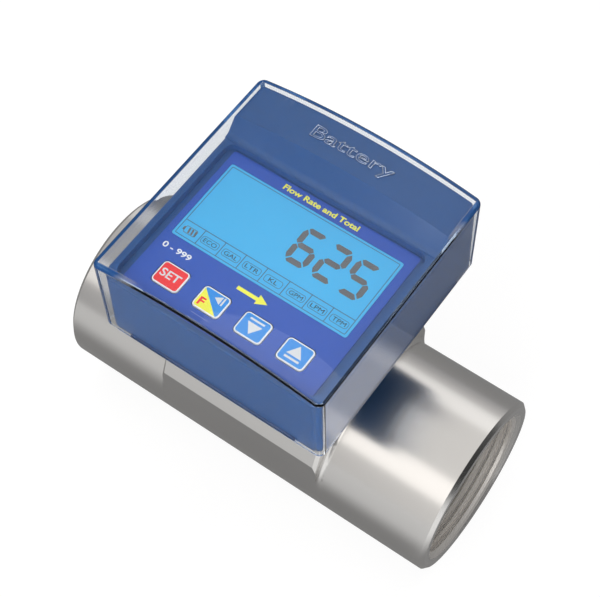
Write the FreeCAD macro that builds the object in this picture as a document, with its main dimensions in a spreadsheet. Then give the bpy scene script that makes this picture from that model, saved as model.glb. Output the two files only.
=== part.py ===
import FreeCAD, Part
import math
import operator
import os
import Sketcher

# Driving dimensions in millimetres. Heights count from the pipe axis, the rest from the swivel axis.
# The origin is on the pipe axis, where the thread of the inlet begins.
SIZES = {
    # pipe body with its saddle
    "body_length": 165.0,
    "body_radius": 36.35,
    "end_chamfer": 1.5,
    "bore_radius": 25.0,
    "bore_taper": 4.0,
    "thread_radius": 29.8,
    "thread_length": 25.0,
    "mouth_radius": 31.7,
    "saddle_length": 70.0,
    "saddle_shoulder": 22.0,
    "saddle_height": 42.0,
    "saddle_top_width": 57.0,
    "saddle_bevel": 1.25,
    "saddle_flare": 2.2,
    "port_radius": 19.0,
    "bolt_offset": 15.2,
    "bolt_radius": 2.5,
    "bolt_depth": 14.0,
    # sensor insert
    "plug_clearance": 0.06,
    "plug_reach": 18.0,
    "flange_radius": 26.0,
    "flange_thickness": 6.0,
    "neck_foot_radius": 16.0,
    "neck_radius": 13.0,
    "neck_lead": 2.0,
    "well_radius": 8.0,
    "well_floor": 3.5,
    "ring_cord": 1.25,
    "ring_slack": 0.2,
    "ring_gap": 0.02,
    "ring_drop": 7.0,
    "seal_cord": 1.0,
    "seal_rise": 5.0,
    "bolt_head_radius": 4.1,
    "bolt_head_height": 5.0,
    "bolt_play": 0.3,
    "hex_radius": 2.2,
    "hex_depth": 2.6,
    # paddle wheel and its fork
    "axle_height": 12.0,
    "axle_radius": 1.5,
    "axle_clearance": 0.05,
    "press_gap": 0.01,
    "bush_radius": 2.6,
    "wheel_radius": 10.5,
    "wheel_width": 8.0,
    "wheel_side_gap": 0.6,
    "hub_radius": 4.0,
    "blade_thickness": 3.2,
    "magnet_radius": 1.0,
    "magnet_inset": 1.9,
    "cheek_thickness": 4.0,
    "cheek_width": 10.0,
    "cheek_round": 4.5,
    # base plate, swivel and gasket
    "base_height": 61.3,
    "base_thickness": 1.6,
    "base_corner_cut": 9.0,
    "spigot_height": 2.4,
    "spigot_clearance": 0.25,
    "spigot_width": 5.0,
    "spigot_corner": 14.0,
    "socket_radius": 17.0,
    "socket_height": 11.0,
    "swivel_clearance": 0.06,
    "swivel_seat_gap": 0.1,
    "clip_thickness": 1.2,
    "clip_gap": 0.15,
    "clip_radius": 15.6,
    "clip_grip": 1.2,
    "clip_opening": 8.0,
    "gasket_thickness": 0.5,
    # housing shell
    "shell_height": 31.1,
    "shell_wall": 2.2,
    "shell_corner": 3.5,
    "shell_draft_angle": 0.9,
    "rim_round": 0.8,
    "cavity_corner": 9.0,
    "recess_side": 2.7,
    "recess_front": 1.8,
    "recess_depth": 2.8,
    "recess_corner": 3.5,
    "panel_thickness": 2.0,
    "deck_thickness": 2.0,
    "window_width": 71.6,
    "window_depth": 34.6,
    "window_shift_x": -0.5,
    "window_shift_y": -0.95,
    "window_corner": 1.0,
    "boss_inset_x": 6.6,
    "boss_inset_y": 2.4,
    "boss_radius": 3.2,
    "boss_height": 14.0,
    "base_screw_radius": 1.25,
    "base_screw_depth": 9.0,
    "base_screw_head": 2.5,
    "base_screw_head_height": 1.6,
    "screw_gap": 0.02,
    "screw_play": 0.2,
    # label, display and keys
    "label_side_margin": 2.9,
    "label_front_margin": 5.3,
    "label_back_margin": 4.85,
    "label_gap_side": 2.4,
    "label_gap_front": 0.6,
    "label_gap_back": 0.8,
    "label_thickness": 0.3,
    "label_corner": 1.2,
    "display_gap": 0.1,
    "display_drop": 0.05,
    "backlight_margin": 1.6,
    "backlight_gap": 0.25,
    "key_width": 10.7,
    "key_depth": 9.0,
    "key_corner": 1.6,
    "key_edge": 0.3,
    "key_space": 6.2,
    "key_drop": 13.95,
    "key_gap": 0.3,
    "key_proud": 0.25,
    "key_flange": 1.0,
    "key_flange_thickness": 0.8,
    "key_flange_gap": 0.1,
    "key_foot_radius": 1.5,
    "key_foot_length": 0.9,
    # main board
    "post_length": 4.2,
    "post_radius": 1.9,
    "post_inset_x": 6.1,
    "post_gap": 0.15,
    "board_thickness": 1.6,
    "board_side_gap": 3.1,
    "board_rear_margin": 2.5,
    "board_front_margin": 1.3,
    "board_screw_radius": 0.9,
    "board_screw_depth": 3.5,
    "board_screw_head": 1.8,
    "board_screw_head_height": 1.2,
    "switch_width": 6.0,
    "switch_body_height": 1.2,
    "switch_height": 1.8,
    "switch_stem_radius": 1.6,
    "stem_width": 7.0,
    "stem_thickness": 1.2,
    "stem_floor_gap": 1.0,
    "pickup_size": 4.0,
    "pickup_thickness": 1.5,
    # battery and lid
    "cell_radius": 7.1,
    "cell_length": 49.0,
    "cell_nub_radius": 2.7,
    "cell_nub_length": 1.2,
    "cell_top_gap": 3.1,
    "cell_gap": 0.3,
    "tray_wall": 1.2,
    "tray_flange": 3.0,
    "tray_flange_width": 10.8,
    "tray_flange_thickness": 1.0,
    "bay_gap": 0.2,
    "bay_front_wall": 2.5,
    "bay_back_wall": 2.9,
    "contact_room": 2.8,
    "contact_thickness": 0.5,
    "contact_height": 10.0,
    "contact_reach": 1.6,
    "lid_toe_gap": 0.3,
    "lid_toe": 1.7,
    "lid_toe_height": 0.3,
    "lid_slope_run": 5.0,
    "lid_foot_round": 2.5,
    "lid_side_height": 5.4,
    "lid_crown": 4.0,
    "lid_wall": 2.0,
    "lid_hollow": 2.2,
    "lid_play": 0.4,
    "lid_corner": 1.5,
    "lid_edge": 0.6,
    # clear cover
    "cover_wall": 1.4,
    "cover_gap_side": 0.8,
    "cover_gap_front": 1.45,
    "cover_gap_back": 0.85,
    "cover_gap_top": 0.3,
    "cover_crown_extra": 0.6,
    "cover_skirt": 1.2,
    "cover_corner": 2.8,
    "cover_edge": 1.4,
    "lip_inset": 0.4,
}

doc = FreeCAD.newDocument("flow_meter")
sheet = doc.addObject("Spreadsheet::Sheet", "Sizes")
OPERATORS = {"+": operator.add, "-": operator.sub, "*": operator.mul, "/": operator.truediv}


class Size:
    """A length together with the sheet expression that gives it."""

    def __init__(self, value, text):
        self.value = value
        self.text = text

    def join(self, sign, other):
        other = as_size(other)
        value = OPERATORS[sign](self.value, other.value)
        return Size(value, f"({self.text} {sign} {other.text})")

    def __add__(self, other):
        return self.join("+", other)

    def __sub__(self, other):
        return self.join("-", other)

    def __mul__(self, other):
        return self.join("*", other)

    def __truediv__(self, other):
        return self.join("/", other)

    def __neg__(self):
        return Size(-self.value, f"(0 - {self.text})")


def as_size(value):
    if isinstance(value, Size):
        return value
    return Size(float(value), f"{float(value)}")


def fill_sheet():
    for row, (alias, value) in enumerate(SIZES.items(), start=1):
        sheet.set(f"A{row}", alias)
        sheet.set(f"B{row}", str(value))
        sheet.setAlias(f"B{row}", alias)
    doc.recompute()


def size(alias):
    return Size(float(sheet.get(alias)), f"Sizes.{alias}")


def bind(item, name, value):
    item.setExpression(name, as_size(value).text)


def place(item, x=0.0, y=0.0, z=0.0):
    bind(item, "Placement.Base.x", x)
    bind(item, "Placement.Base.y", y)
    bind(item, "Placement.Base.z", z)


# Sketches

def new_body(label):
    body = doc.addObject("PartDesign::Body", label)
    body.Label = label
    return body


def new_sketch(body, role, lift=0.0):
    sketch = body.newObject("Sketcher::SketchObject", f"{body.Label}_sketch")
    plane = [item for item in body.Origin.OriginFeatures if item.Role == role][0]
    sketch.AttachmentSupport = [(plane, "")]
    sketch.MapMode = "FlatFace"
    bind(sketch, "AttachmentOffset.Base.z", lift)
    return sketch


def pin(sketch, index, point, x, y):
    for kind, axis, value in (("DistanceX", -2, as_size(x)), ("DistanceY", -1, as_size(y))):
        if value.text == "0.0":
            sketch.addConstraint(Sketcher.Constraint("PointOnObject", index, point, axis))
            continue
        number = sketch.addConstraint(Sketcher.Constraint(kind, -1, 1, index, point, value.value))
        bind(sketch, f"Constraints[{number}]", value)


def draw_polygon(sketch, points):
    points = [(as_size(x), as_size(y)) for x, y in points]
    spots = [FreeCAD.Vector(x.value, y.value, 0) for x, y in points]
    lines = []
    for start, end in zip(spots, spots[1:] + spots[:1]):
        lines.append(sketch.addGeometry(Part.LineSegment(start, end), False))
    for line, after in zip(lines, lines[1:] + lines[:1]):
        sketch.addConstraint(Sketcher.Constraint("Coincident", line, 2, after, 1))
    for line, (x, y) in zip(lines, points):
        pin(sketch, line, 1, x, y)


def draw_rectangle(sketch, width, depth, x=0.0, y=0.0):
    left = as_size(x) - as_size(width) / 2
    right = as_size(x) + as_size(width) / 2
    front = as_size(y) - as_size(depth) / 2
    back = as_size(y) + as_size(depth) / 2
    draw_polygon(sketch, [(left, front), (right, front), (right, back), (left, back)])


def draw_octagon(sketch, width, depth, corner, middle):
    x = as_size(width) / 2
    front = middle - as_size(depth) / 2
    back = middle + as_size(depth) / 2
    draw_polygon(sketch, [
        (corner - x, front), (x - corner, front), (x, front + corner), (x, back - corner),
        (x - corner, back), (corner - x, back), (-x, back - corner), (-x, front + corner),
    ])


def draw_circle(sketch, radius, x=0.0, y=0.0):
    spot = FreeCAD.Vector(as_size(x).value, as_size(y).value, 0)
    circle = Part.Circle(spot, FreeCAD.Vector(0, 0, 1), as_size(radius).value)
    index = sketch.addGeometry(circle, False)
    pin(sketch, index, 3, x, y)
    number = sketch.addConstraint(Sketcher.Constraint("Radius", index, as_size(radius).value))
    bind(sketch, f"Constraints[{number}]", radius)


def draw_crowned(sketch, width, bottom, side_top, crown):
    half = as_size(width) / 2
    radius = (half * half + as_size(crown) * crown) / (as_size(crown) * 2)
    corners = [(-half, side_top), (-half, bottom), (half, bottom), (half, side_top)]
    spots = [FreeCAD.Vector(as_size(x).value, as_size(y).value, 0) for x, y in corners]
    apex = FreeCAD.Vector(0, as_size(side_top).value + as_size(crown).value, 0)
    lines = [sketch.addGeometry(Part.LineSegment(a, b), False) for a, b in zip(spots, spots[1:])]
    arc = sketch.addGeometry(Part.Arc(spots[3], apex, spots[0]), False)
    for line, after in zip(lines, lines[1:]):
        sketch.addConstraint(Sketcher.Constraint("Coincident", line, 2, after, 1))
    sketch.addConstraint(Sketcher.Constraint("Coincident", lines[2], 2, arc, 1))
    sketch.addConstraint(Sketcher.Constraint("Coincident", arc, 2, lines[0], 1))
    for line, (x, y) in zip(lines, corners):
        pin(sketch, line, 1, x, y)
    pin(sketch, lines[2], 2, half, side_top)
    number = sketch.addConstraint(Sketcher.Constraint("Radius", arc, radius.value))
    bind(sketch, f"Constraints[{number}]", radius)


# Features

def grow(body, kind, sketch, length, reverse=False):
    feature = body.newObject(f"PartDesign::{kind}", f"{body.Label}_{kind.lower()}")
    feature.Profile = sketch
    feature.Reversed = reverse
    bind(feature, "Length", length)
    sketch.Visibility = False
    return feature


def pad(body, sketch, length, reverse=False):
    return grow(body, "Pad", sketch, length, reverse)


def pocket(body, sketch, length, reverse=False):
    return grow(body, "Pocket", sketch, length, reverse)


def turn(body, kind, sketch, axis, angle=360.0):
    feature = body.newObject(f"PartDesign::{kind}", f"{body.Label}_{kind.lower()}")
    feature.Profile = sketch
    feature.ReferenceAxis = (sketch, [axis])
    feature.Midplane = True
    feature.Angle = angle
    return feature


def dress(body, kind, wanted, amount):
    doc.recompute()
    base = body.Tip
    names = [f"Edge{i}" for i, edge in enumerate(base.Shape.Edges, start=1) if wanted(edge)]
    feature = body.newObject(f"PartDesign::{kind}", f"{body.Label}_{kind.lower()}")
    feature.Base = (base, names)
    bind(feature, "Radius" if kind == "Fillet" else "Size", amount)
    return feature


def upright_at(corners, reach=0.01):
    def wanted(edge):
        if len(edge.Vertexes) < 2:
            return False
        a, b = (vertex.Point for vertex in edge.Vertexes)
        if abs(a.x - b.x) > reach or abs(a.y - b.y) > reach:
            return False
        return any(abs(a.x - x) < reach and abs(a.y - y) < reach for x, y in corners)
    return wanted


def leaning_from(corners, height, reach=0.01):
    def wanted(edge):
        if len(edge.Vertexes) < 2:
            return False
        low, high = sorted((vertex.Point for vertex in edge.Vertexes), key=lambda point: point.z)
        if abs(high.z - height.value) > reach or high.z - low.z < 1.0:
            return False
        return any(abs(high.x - x) < reach and abs(high.y - y) < reach for x, y in corners)
    return wanted


def level_at(height, reach=0.01):
    return lambda edge: all(abs(vertex.Point.z - height.value) < reach for vertex in edge.Vertexes)


def corners_of(width, depth, x=0.0, y=0.0):
    half = as_size(width).value / 2
    deep = as_size(depth).value / 2
    mid_x = as_size(x).value
    mid_y = as_size(y).value
    return [(mid_x + i * half, mid_y + j * deep) for i in (-1, 1) for j in (-1, 1)]


def four_ways(x, y):
    return [(as_size(x) * i, as_size(y) * j) for i in (-1, 1) for j in (-1, 1)]


# Plain solids

def cylinder(name, radius, length, x=0.0, y=0.0, z=0.0, along=None):
    item = doc.addObject("Part::Cylinder", name)
    bind(item, "Radius", radius)
    bind(item, "Height", length)
    if along:
        item.Placement.Rotation = FreeCAD.Rotation(FreeCAD.Vector(0, 0, 1), FreeCAD.Vector(*along))
    place(item, x, y, z)
    return item


def box(name, length, width, height, x=0.0, y=0.0, z=0.0):
    item = doc.addObject("Part::Box", name)
    bind(item, "Length", length)
    bind(item, "Width", width)
    bind(item, "Height", height)
    place(item, as_size(x) - as_size(length) / 2, as_size(y) - as_size(width) / 2, z)
    return item


def cut(name, base, tool):
    item = doc.addObject("Part::Cut", name)
    item.Base = base
    item.Tool = tool
    return item


def fuse(name, shapes):
    item = doc.addObject("Part::MultiFuse", name)
    item.Shapes = shapes
    return item


def group(label, items):
    item = doc.addObject("Part::Compound", label)
    item.Label = label
    item.Links = items
    return item


def torus(label, ring_radius, cord, x, z):
    item = doc.addObject("Part::Torus", label)
    item.Label = label
    bind(item, "Radius1", ring_radius)
    bind(item, "Radius2", cord)
    place(item, x, 0.0, z)
    return item


fill_sheet()

# Levels and shared measures
countersink = size("mouth_radius") - size("thread_radius")
inlet_face = -countersink
outlet_face = inlet_face + size("body_length")
mid_x = inlet_face + size("body_length") / 2
saddle_top = size("saddle_height")
flange_top = saddle_top + size("flange_thickness")
plug_radius = size("port_radius") - size("plug_clearance")
plug_bottom = saddle_top - size("plug_reach")
well_bottom = plug_bottom + size("well_floor")
base_bottom = size("base_height")
base_top = base_bottom + size("base_thickness")
socket_top = base_bottom + size("socket_height")
clip_bottom = socket_top + size("clip_gap")
clip_top = clip_bottom + size("clip_thickness")
neck_top = clip_top + size("ring_slack") + size("neck_lead")
shell_bottom = base_top + size("gasket_thickness")
spigot_top = shell_bottom + size("spigot_height")
rim_top = shell_bottom + size("shell_height")
panel_top = rim_top - size("recess_depth")
panel_under = panel_top - size("panel_thickness")
label_top = panel_top + size("label_thickness")
board_top = panel_under - size("post_length")
board_under = board_top - size("board_thickness")
backlight_top = panel_under - size("backlight_gap")
glass_top = label_top - size("display_drop")
cell_level = rim_top + size("lid_hollow") - size("cell_top_gap") - size("cell_radius")
tray_inner_depth = (size("cell_radius") + size("cell_gap")) * 2
tray_outer_depth = tray_inner_depth + size("tray_wall") * 2
tray_length = size("cell_length") + (size("cell_nub_length") + size("contact_room")) * 2
tray_outer_length = tray_length + size("tray_wall") * 2
tray_floor = cell_level - size("cell_radius") - size("press_gap")

# The face sets the width and the front of the housing, the battery bay its back
label_width = size("window_width") + size("label_side_margin") * 2
recess_width = label_width + size("label_gap_side") * 2
shell_width = recess_width + size("recess_side") * 2
inner_width = shell_width - size("shell_wall") * 2
window_front = size("window_shift_y") - size("window_depth") / 2
window_back = size("window_shift_y") + size("window_depth") / 2
key_pitch = size("key_width") + size("key_space")
key_row_y = window_front - size("key_drop")
label_front = key_row_y - size("key_depth") / 2 - size("label_front_margin")
label_back = window_back + size("label_back_margin")
recess_front_y = label_front - size("label_gap_front")
recess_back_y = label_back + size("label_gap_back")
cell_y = recess_back_y + size("bay_front_wall") + size("bay_gap") + tray_outer_depth / 2
shell_front = recess_front_y - size("recess_front")
shell_back = cell_y + tray_outer_depth / 2 + size("bay_gap") + size("bay_back_wall")
shell_depth = shell_back - shell_front
shell_mid_y = (shell_back + shell_front) / 2
inner_depth = shell_depth - size("shell_wall") * 2
inner_back = shell_back - size("shell_wall")
lid_front = recess_back_y + size("lid_toe_gap")
lid_slope_y = lid_front + size("lid_toe")
lid_toe_top = rim_top + size("lid_toe_height")
cover_width = shell_width + (size("cover_gap_side") + size("cover_wall")) * 2
cover_front = shell_front - size("cover_gap_front") - size("cover_wall")
cover_back = shell_back + size("cover_gap_back") + size("cover_wall")
cover_low = shell_bottom + size("cover_skirt")
cover_side_top = rim_top + size("lid_side_height") + size("cover_gap_top") + size("cover_wall")

# Fork, screws, keys and posts
fork_gap = size("wheel_width") + size("wheel_side_gap") * 2
fork_outer = fork_gap + size("cheek_thickness") * 2
bolt_spots = four_ways(size("bolt_offset"), size("bolt_offset"))
boss_spots = [
    (x, shell_mid_y + y)
    for x, y in four_ways(inner_width / 2 - size("boss_inset_x"), inner_depth / 2 - size("boss_inset_y"))
]
key_spots = [key_pitch * step for step in (-1.5, -0.5, 0.5, 1.5)]
post_rear_x = inner_width / 2 - size("post_inset_x")
post_rear_y = window_back + size("backlight_margin") + size("post_gap") + size("post_radius")
post_spots = [(-post_rear_x, post_rear_y), (post_rear_x, post_rear_y),
              (-key_pitch, key_row_y), (key_pitch, key_row_y)]


# Pipe body: turned bar, saddle block, bore with the thread seats, sensor port

def saddle_edge(edge):
    if len(edge.Vertexes) < 2:
        return False
    a, b = (vertex.Point for vertex in edge.Vertexes)
    shoulder = SIZES["saddle_shoulder"]
    low = min(a.z, b.z)
    high = max(a.z, b.z)
    at_end = abs(a.x - b.x) < 0.01 and high > shoulder + 1 and low > shoulder - 0.01
    return at_end or low > saddle_top.value - 0.01


def end_profile(face_x, inward):
    length = countersink + size("thread_length")
    return [
        (face_x, size("mouth_radius")),
        (face_x + countersink * inward, size("thread_radius")),
        (face_x + length * inward, size("thread_radius")),
        (face_x + (length + size("bore_taper")) * inward, size("bore_radius")),
    ]


def draw_flare(sketch, face, side):
    radius = size("body_radius")
    flare = size("saddle_flare")
    tip = face + flare * side
    top = radius + flare
    corners = [(tip, radius), (tip, radius - 1.0), (face - 1.0 * side, radius - 1.0),
               (face - 1.0 * side, top), (face, top)]
    spots = [FreeCAD.Vector(as_size(x).value, as_size(y).value, 0) for x, y in corners]
    lines = [sketch.addGeometry(Part.LineSegment(a, b), False) for a, b in zip(spots, spots[1:])]
    circle = Part.Circle(FreeCAD.Vector(tip.value, top.value, 0), FreeCAD.Vector(0, 0, 1), flare.value)
    quarter = math.pi / 2
    first = 2 * quarter if side > 0 else 3 * quarter
    arc = sketch.addGeometry(Part.ArcOfCircle(circle, first, first + quarter), False)
    for line, after in zip(lines, lines[1:]):
        sketch.addConstraint(Sketcher.Constraint("Coincident", line, 2, after, 1))
    foot, head = (2, 1) if side > 0 else (1, 2)
    sketch.addConstraint(Sketcher.Constraint("Coincident", lines[0], 1, arc, foot))
    sketch.addConstraint(Sketcher.Constraint("Coincident", lines[3], 2, arc, head))
    for line, (x, y) in zip(lines, corners):
        pin(sketch, line, 1, x, y)
    pin(sketch, lines[3], 2, face, top)
    number = sketch.addConstraint(Sketcher.Constraint("Radius", arc, flare.value))
    bind(sketch, f"Constraints[{number}]", flare)


def add_saddle_flare(body):
    flare = size("saddle_flare")
    radius = size("body_radius")
    trim = []
    for side in (-1, 1):
        face = mid_x + size("saddle_length") / 2 * side
        ring = new_sketch(body, "XZ_Plane")
        draw_flare(ring, face, side)
        turn(body, "Revolution", ring, "H_Axis", 170.0)
        trim += [(face + (flare - 1.0) * side / 2, (radius + flare) * way) for way in (-1, 1)]
    sides = new_sketch(body, "XY_Plane", radius + flare)
    for x, y in trim:
        draw_rectangle(sides, flare + 1.0, flare * 2, x, y)
    pocket(body, sides, radius + flare - 1.0)


def make_meter_body():
    body = new_body("meter_body")
    radius = size("body_radius")
    bevel = size("end_chamfer")
    outline = new_sketch(body, "XZ_Plane")
    draw_polygon(outline, [
        (inlet_face, 0.0), (inlet_face, radius - bevel), (inlet_face + bevel, radius),
        (outlet_face - bevel, radius), (outlet_face, radius - bevel), (outlet_face, 0.0),
    ])
    turn(body, "Revolution", outline, "H_Axis")
    saddle = new_sketch(body, "YZ_Plane", mid_x - size("saddle_length") / 2)
    half_top = size("saddle_top_width") / 2
    draw_polygon(saddle, [
        (-radius, 0.0), (radius, 0.0), (radius, size("saddle_shoulder")),
        (half_top, saddle_top), (-half_top, saddle_top), (-radius, size("saddle_shoulder")),
    ])
    pad(body, saddle, size("saddle_length"))
    dress(body, "Chamfer", saddle_edge, size("saddle_bevel"))
    add_saddle_flare(body)
    bore = new_sketch(body, "XZ_Plane")
    ends = end_profile(inlet_face, 1) + end_profile(outlet_face, -1)[::-1]
    draw_polygon(bore, [(inlet_face, 0.0)] + ends + [(outlet_face, 0.0)])
    turn(body, "Groove", bore, "H_Axis")
    port = new_sketch(body, "XY_Plane", saddle_top)
    draw_circle(port, size("port_radius"), mid_x, 0.0)
    pocket(body, port, saddle_top)
    holes = new_sketch(body, "XY_Plane", saddle_top)
    for x, y in bolt_spots:
        draw_circle(holes, size("bolt_radius"), mid_x + x, y)
    pocket(body, holes, size("bolt_depth"))
    return body


# Sensor insert: plug, flange and neck turned about the swivel axis, fork below

def insert_profile():
    neck = size("neck_radius")
    seal_low = base_bottom + size("seal_rise")
    seal_high = seal_low + size("seal_cord") * 2 + size("ring_slack")
    seal_root = neck - size("seal_cord") * 2
    ring_high = saddle_top - size("ring_drop")
    ring_low = ring_high - size("ring_cord") * 2 - size("ring_slack")
    ring_root = size("port_radius") - size("ring_cord") * 2 - size("ring_slack")
    clip_root = neck - size("clip_grip")
    clip_high = clip_top + size("ring_slack") / 2
    clip_low = clip_bottom - size("ring_slack") / 2
    foot_top = base_bottom - size("swivel_seat_gap")
    return [
        (0.0, plug_bottom), (plug_radius, plug_bottom),
        (plug_radius, ring_low), (ring_root, ring_low),
        (ring_root, ring_high), (plug_radius, ring_high),
        (plug_radius, saddle_top), (size("flange_radius"), saddle_top),
        (size("flange_radius"), flange_top), (size("neck_foot_radius"), flange_top),
        (size("neck_foot_radius"), foot_top), (neck, foot_top),
        (neck, seal_low), (seal_root, seal_low), (seal_root, seal_high), (neck, seal_high),
        (neck, clip_low), (clip_root, clip_low), (clip_root, clip_high), (neck, clip_high),
        (neck, neck_top), (size("well_radius"), neck_top),
        (size("well_radius"), well_bottom), (0.0, well_bottom),
    ]


def make_sensor_insert():
    body = new_body("sensor_insert")
    outline = new_sketch(body, "XZ_Plane")
    draw_polygon(outline, insert_profile())
    turn(body, "Revolution", outline, "V_Axis")
    cheeks = new_sketch(body, "XY_Plane", plug_bottom + size("well_floor") / 4)
    shift = (fork_gap + size("cheek_thickness")) / 2
    for side in (-1, 1):
        draw_rectangle(cheeks, size("cheek_width"), size("cheek_thickness"), 0.0, shift * side)
    drop = plug_bottom + size("well_floor") / 4 - size("axle_height") + size("cheek_width") / 2
    pad(body, cheeks, drop, True)
    low = size("axle_height").value - SIZES["cheek_width"] / 2
    dress(body, "Fillet", lambda edge: fork_tip(edge, low), size("cheek_round"))
    seats = new_sketch(body, "XZ_Plane", fork_outer / 2 + 1)
    draw_circle(seats, size("bush_radius"), 0.0, size("axle_height"))
    pocket(body, seats, fork_outer + 2)
    holes = new_sketch(body, "XY_Plane", flange_top)
    for x, y in bolt_spots:
        draw_circle(holes, size("bolt_radius") + size("bolt_play"), x, y)
    pocket(body, holes, size("flange_thickness"))
    place(body, mid_x)
    return body


def fork_tip(edge, low):
    if len(edge.Vertexes) < 2:
        return False
    a, b = (vertex.Point for vertex in edge.Vertexes)
    return abs(a.z - low) < 0.01 and abs(b.z - low) < 0.01 and abs(a.x - b.x) < 0.01


def make_insert_oring():
    ring_radius = size("port_radius") - size("ring_gap") - size("ring_cord")
    level = saddle_top - size("ring_drop") - size("ring_cord") - size("ring_slack") / 2
    return torus("insert_oring", ring_radius, size("ring_cord"), mid_x, level)


def make_neck_oring():
    ring_radius = size("neck_radius") - size("seal_cord") - size("ring_gap")
    level = base_bottom + size("seal_rise") + size("seal_cord") + size("ring_slack") / 2
    return torus("neck_oring", ring_radius, size("seal_cord") - size("ring_gap"), mid_x, level)


def make_flange_screws():
    screws = []
    for x, y in bolt_spots:
        shank = cylinder("flange_shank", size("bolt_radius") - size("screw_gap"),
                         size("bolt_depth") + size("flange_thickness") - 1.0,
                         mid_x + x, y, saddle_top - size("bolt_depth") + 1.0)
        head = cylinder("flange_head", size("bolt_head_radius"), size("bolt_head_height"),
                        mid_x + x, y, flange_top)
        socket = doc.addObject("Part::Prism", "flange_socket")
        bind(socket, "Circumradius", size("hex_radius"))
        bind(socket, "Height", size("hex_depth") + 1.0)
        place(socket, mid_x + x, y, flange_top + size("bolt_head_height") - size("hex_depth"))
        screws.append(cut("flange_screw", fuse("flange_blank", [shank, head]), socket))
    return group("flange_screws", screws)


# Paddle wheel, magnets, axle and bushes

def make_paddle_wheel():
    body = new_body("paddle_wheel")
    half = size("wheel_width") / 2
    hub = new_sketch(body, "XZ_Plane", -half)
    draw_circle(hub, size("hub_radius"))
    pad(body, hub, size("wheel_width"))
    blade = new_sketch(body, "XZ_Plane", -half)
    draw_rectangle(blade, size("blade_thickness"), size("wheel_radius"), 0.0, size("wheel_radius") / 2)
    first = pad(body, blade, size("wheel_width"))
    repeat_round(body, first)
    seat = new_sketch(body, "XZ_Plane", half)
    draw_circle(seat, size("magnet_radius"), 0.0, size("wheel_radius") - size("magnet_inset"))
    first = pocket(body, seat, size("wheel_width"))
    repeat_round(body, first)
    hole = new_sketch(body, "XZ_Plane", half)
    draw_circle(hole, size("axle_radius") + size("axle_clearance"))
    pocket(body, hole, size("wheel_width"))
    place(body, mid_x, 0.0, size("axle_height"))
    return body


def repeat_round(body, feature):
    pattern = body.newObject("PartDesign::PolarPattern", f"{body.Label}_pattern")
    pattern.Originals = [feature]
    axis = [item for item in body.Origin.OriginFeatures if item.Role == "Y_Axis"][0]
    pattern.Axis = (axis, [""])
    pattern.Angle = 360.0
    pattern.Occurrences = 4
    body.Tip = pattern


def make_rotor_magnets():
    reach = size("wheel_radius") - size("magnet_inset")
    half = size("wheel_width") / 2
    magnets = []
    for x, z in ((0, 1), (1, 0), (0, -1), (-1, 0)):
        magnets.append(cylinder("magnet", size("magnet_radius") - size("press_gap"), size("wheel_width"),
                                mid_x + reach * x, -half, size("axle_height") + reach * z, (0, 1, 0)))
    return group("rotor_magnets", magnets)


def make_paddle_axle():
    item = cylinder("paddle_axle", size("axle_radius"), fork_outer, mid_x, -fork_outer / 2,
                    size("axle_height"), (0, 1, 0))
    item.Label = "paddle_axle"
    return item


def make_axle_bushes():
    bushes = []
    for start in (-fork_outer / 2, fork_gap / 2):
        spot = (mid_x, start, size("axle_height"), (0, 1, 0))
        outer = cylinder("bush_blank", size("bush_radius") - size("press_gap"), size("cheek_thickness"), *spot)
        inner = cylinder("bush_hole", size("axle_radius") + size("press_gap"), size("cheek_thickness"), *spot)
        bushes.append(cut("bush", outer, inner))
    return group("axle_bushes", bushes)


# Base plate with the swivel socket, clip, gasket and screws

def make_base_plate():
    body = new_body("base_plate")
    plate = new_sketch(body, "XY_Plane", base_bottom)
    draw_octagon(plate, shell_width, shell_depth, size("base_corner_cut"), shell_mid_y)
    pad(body, plate, size("base_thickness"))
    spigot = new_sketch(body, "XY_Plane", base_top)
    width = inner_width - size("spigot_clearance") * 2
    depth = inner_depth - size("spigot_clearance") * 2
    draw_octagon(spigot, width, depth, size("spigot_corner"), shell_mid_y)
    pad(body, spigot, spigot_top - base_top)
    hollow = new_sketch(body, "XY_Plane", spigot_top)
    margin = size("spigot_width") * 2
    draw_octagon(hollow, width - margin, depth - margin, size("spigot_corner"), shell_mid_y)
    pocket(body, hollow, spigot_top - base_top)
    socket = new_sketch(body, "XY_Plane", base_bottom)
    draw_circle(socket, size("socket_radius"))
    pad(body, socket, size("socket_height"))
    hole = new_sketch(body, "XY_Plane", socket_top)
    draw_circle(hole, size("neck_radius") + size("swivel_clearance"))
    pocket(body, hole, size("socket_height"))
    holes = new_sketch(body, "XY_Plane", base_top)
    for x, y in boss_spots:
        draw_circle(holes, size("base_screw_radius") + size("screw_play"), x, y)
    pocket(body, holes, size("base_thickness"))
    place(body, mid_x)
    return body


def make_neck_clip():
    root = size("neck_radius") - size("clip_grip") + size("ring_gap")
    rim = cylinder("clip_rim", size("clip_radius"), size("clip_thickness"), mid_x, 0.0, clip_bottom)
    hole = cylinder("clip_hole", root, size("clip_thickness"), mid_x, 0.0, clip_bottom)
    slot = box("clip_slot", size("clip_opening"), size("clip_radius") * 2, size("clip_thickness"),
               mid_x, size("clip_radius"), clip_bottom)
    item = cut("neck_clip", cut("clip_ring", rim, hole), slot)
    item.Label = "neck_clip"
    return item


def make_base_gasket():
    body = new_body("base_gasket")
    outline = new_sketch(body, "XY_Plane", base_top)
    draw_octagon(outline, shell_width, shell_depth, size("base_corner_cut"), shell_mid_y)
    pad(body, outline, size("gasket_thickness"))
    hole = new_sketch(body, "XY_Plane", shell_bottom)
    play = size("spigot_clearance")
    draw_octagon(hole, inner_width - play, inner_depth - play, size("spigot_corner"), shell_mid_y)
    for x, y in boss_spots:
        draw_circle(hole, size("base_screw_radius") + size("screw_play"), x, y)
    pocket(body, hole, size("gasket_thickness"))
    place(body, mid_x)
    return body


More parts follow.
